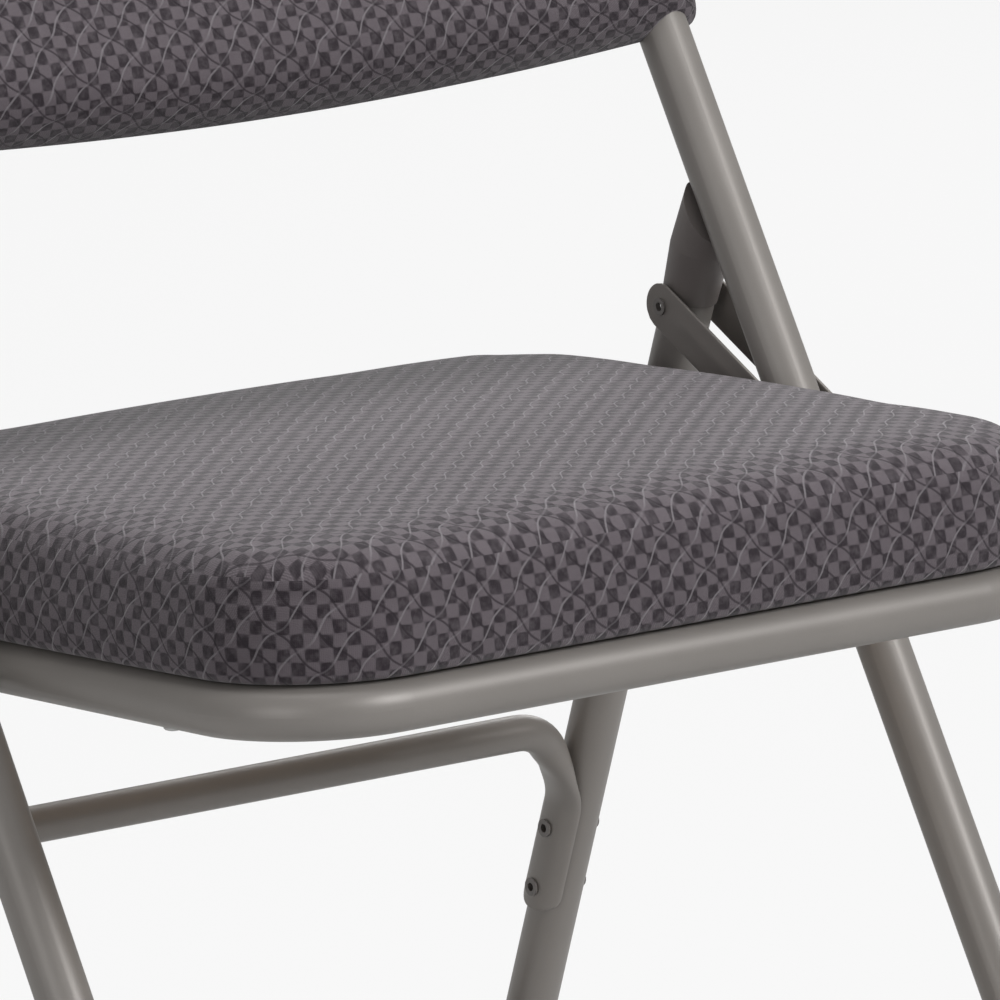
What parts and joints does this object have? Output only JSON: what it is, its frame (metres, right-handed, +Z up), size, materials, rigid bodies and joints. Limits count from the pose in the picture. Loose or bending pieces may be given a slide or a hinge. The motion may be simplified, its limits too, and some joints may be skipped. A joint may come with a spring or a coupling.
{
  "type": "folding chair",
  "caption": "Folding chair with a round steel tube frame, a padded fabric seat and a padded fabric backrest that folds flat on paired side links.",
  "frame": {"origin": "on the floor under the middle of the chair's outer box", "axes": "+Z up, the sitter faces -Y; left and right in names are as seen from the front, so right is +X"},
  "size_m": [0.479, 0.5378, 0.7964],
  "materials": {
    "frame_paint": "satin powder coat",
    "link_paint": "satin powder coat",
    "rivet_paint": "satin powder coat",
    "cap_plastic": "matt moulded",
    "foot_rubber": "matt",
    "fabric": "woven with a small diamond pattern",
    "plywood": "unfinished",
    "zinc": "zinc plated"
  },
  "bodies": {
    "main_frame": {"main_frame": "frame_paint", "front_brace": "frame_paint", "front_brace_rivets": "rivet_paint", "front_foot_left": "foot_rubber", "front_foot_right": "foot_rubber", "seat_pivot_rivet_left": "rivet_paint", "seat_pivot_rivet_right": "rivet_paint", "seat_pivot_spacers": "zinc", "link_front_rivet_left": "rivet_paint", "link_front_rivet_right": "rivet_paint", "link_front_washers": "zinc", "backrest_board": "plywood", "backrest_screws": "zinc", "backrest_cushion": "fabric"},
    "seat": {"seat_frame": "frame_paint", "seat_rail_plugs": "foot_rubber", "seat_board": "plywood", "seat_tee_nuts": "zinc", "seat_screws": "zinc", "seat_cushion": "fabric"},
    "rear_legs": {"rear_leg_left": "frame_paint", "rear_leg_right": "frame_paint", "rear_cap_left": "cap_plastic", "rear_cap_right": "cap_plastic", "rear_foot_left": "foot_rubber", "rear_foot_right": "foot_rubber", "upper_rear_brace": "frame_paint", "lower_rear_brace": "frame_paint", "rear_brace_rivets": "rivet_paint", "rear_pivot_rivet_left": "rivet_paint", "rear_pivot_rivet_right": "rivet_paint", "rear_pivot_spacers": "zinc"},
    "link_left": {"link_left_inner_plate": "link_paint", "link_left_outer_plate": "link_paint", "link_left_rear_rivets": "rivet_paint"},
    "link_right": {"link_right_inner_plate": "link_paint", "link_right_outer_plate": "link_paint", "link_right_rear_rivets": "rivet_paint"}
  },
  "joints": [
    {"name": "seat_fold", "type": "hinge", "parent": "main_frame", "child": "seat", "pos_m": [0, -0.00253, 0.3945], "axis": [-1, 0, 0], "range_deg": [0, 106.62]},
    {"name": "rear_leg_fold", "type": "hinge", "parent": "seat", "child": "rear_legs", "pos_m": [0, 0.12842, 0.384], "axis": [-1, 0, 0], "range_deg": [-56.03, 0]},
    {"name": "link_left_fold", "type": "hinge", "parent": "main_frame", "child": "link_left", "pos_m": [0, 0.02155, 0.43245], "axis": [-1, 0, 0], "range_deg": [0, 130.93]},
    {"name": "link_right_fold", "type": "hinge", "parent": "main_frame", "child": "link_right", "pos_m": [0, 0.02155, 0.43245], "axis": [-1, 0, 0], "range_deg": [0, 130.93]}
  ],
  "couplings": [
    {"joint": "rear_leg_fold", "follows": "seat_fold", "ratio": -0.52543},
    {"joint": "link_left_fold", "follows": "seat_fold", "ratio": 1.2278},
    {"joint": "link_right_fold", "follows": "seat_fold", "ratio": 1.2278}
  ]
}
